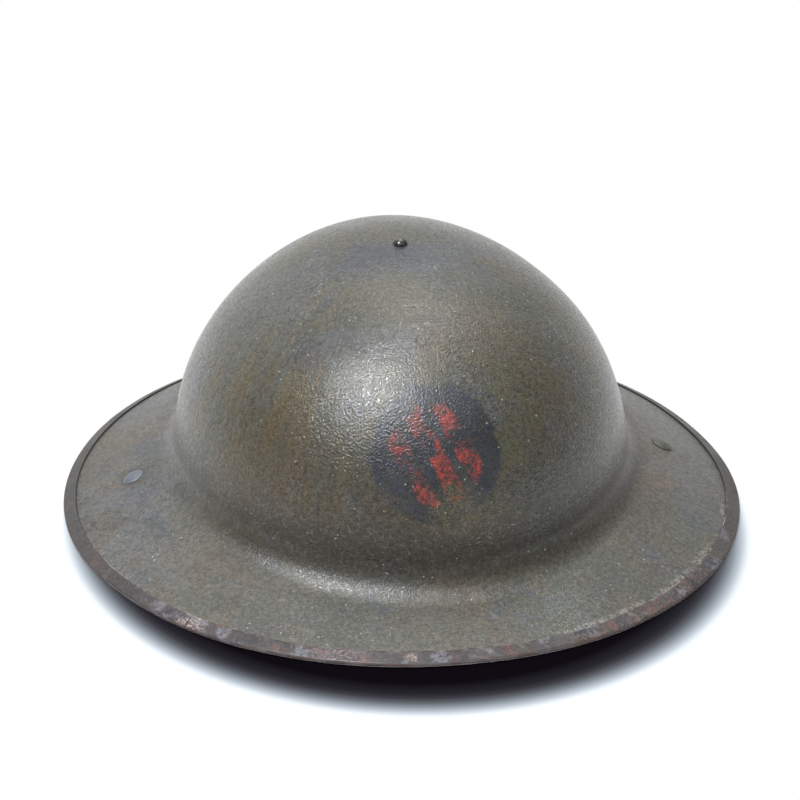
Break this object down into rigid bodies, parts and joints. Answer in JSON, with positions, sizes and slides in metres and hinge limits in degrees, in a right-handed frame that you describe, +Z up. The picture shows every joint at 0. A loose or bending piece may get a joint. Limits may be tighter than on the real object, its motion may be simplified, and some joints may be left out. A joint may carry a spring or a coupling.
{
  "type": "brodie helmet",
  "caption": "Wide-brimmed pressed steel helmet with a folded rim strip, a riveted liner on rubber buffers and a leather chin strap on wire bails.",
  "frame": {"origin": "middle of the plane that the rim stands on", "axes": "-Y to the front of the helmet, +X to the side, +Z up through the crown"},
  "size_m": [0.292, 0.3134, 0.1197],
  "materials": {
    "shell_paint": "matt, sandy, worn",
    "rim_paint": "worn and rusted",
    "rivet_steel": "darkened",
    "plated_steel": "dull",
    "wire_steel": "blackened",
    "tin": "dull",
    "felt": "felted",
    "oilcloth": "dull black",
    "band_leather": "worn",
    "strap_leather": "worn",
    "twine": "twisted cotton",
    "tube_rubber": "aged, matt"
  },
  "bodies": {
    "helmet": {"shell": "shell_paint", "rim_band": "rim_paint", "crown_rivet": "rivet_steel", "crown_leather_washer": "strap_leather", "crown_steel_washer": "plated_steel", "crown_pad": "felt", "liner_strap_fore_aft": "oilcloth", "liner_strap_across": "oilcloth", "hoop_rivets": "rivet_steel", "liner_hoop": "tin", "buffer_clips": "tin", "headband": "band_leather", "liner_net": "twine", "liner_lace": "twine", "bail_bracket_left": "rivet_steel", "bail_bracket_right": "rivet_steel", "bracket_rivet_left": "rivet_steel", "bracket_rivet_right": "rivet_steel", "buffer_tube_01": "tube_rubber", "buffer_tube_02": "tube_rubber", "buffer_tube_03": "tube_rubber", "buffer_tube_04": "tube_rubber", "buffer_tube_05": "tube_rubber", "buffer_tube_06": "tube_rubber", "buffer_tube_07": "tube_rubber", "buffer_tube_08": "tube_rubber", "buffer_tube_09": "tube_rubber", "buffer_tube_10": "tube_rubber", "buffer_tube_11": "tube_rubber", "buffer_tube_12": "tube_rubber"},
    "left_bail": {"bail_left": "wire_steel"},
    "right_bail": {"bail_right": "wire_steel"},
    "long_strap": {"chin_strap_long": "strap_leather", "long_strap_rivets": "plated_steel"},
    "short_strap": {"chin_strap_short": "strap_leather", "short_strap_rivets": "plated_steel"},
    "buckle": {"buckle_frame": "wire_steel"},
    "roller": {"buckle_roller": "plated_steel"}
  },
  "joints": [
    {"name": "bail_left_swing", "type": "hinge", "parent": "helmet", "child": "left_bail", "pos_m": [-0.10603, 0, 0.01597], "axis": [0, 1, 0], "range_deg": [-2, 80]},
    {"name": "bail_right_swing", "type": "hinge", "parent": "helmet", "child": "right_bail", "pos_m": [0.10603, 0, 0.01597], "axis": [0, -1, 0], "range_deg": [-2, 80]},
    {"name": "long_strap_swing", "type": "hinge", "parent": "left_bail", "child": "long_strap", "pos_m": [-0.09438, 0, 0.005], "axis": [0, 1, 0], "range_deg": [-3, 75]},
    {"name": "short_strap_swing", "type": "hinge", "parent": "right_bail", "child": "short_strap", "pos_m": [0.09438, 0, 0.005], "axis": [0, -1, 0], "range_deg": [-15, 75]},
    {"name": "buckle_swing", "type": "hinge", "parent": "short_strap", "child": "buckle", "pos_m": [0.02011, 0.01044, 0.0048], "axis": [-0.1392, -0.9903, 0], "range_deg": [-60, 70]},
    {"name": "roller_spin", "type": "hinge", "parent": "buckle", "child": "roller", "pos_m": [0.00244, 0.01292, 0.0024], "axis": [-0.1392, -0.9903, 0], "continuous": true}
  ]
}
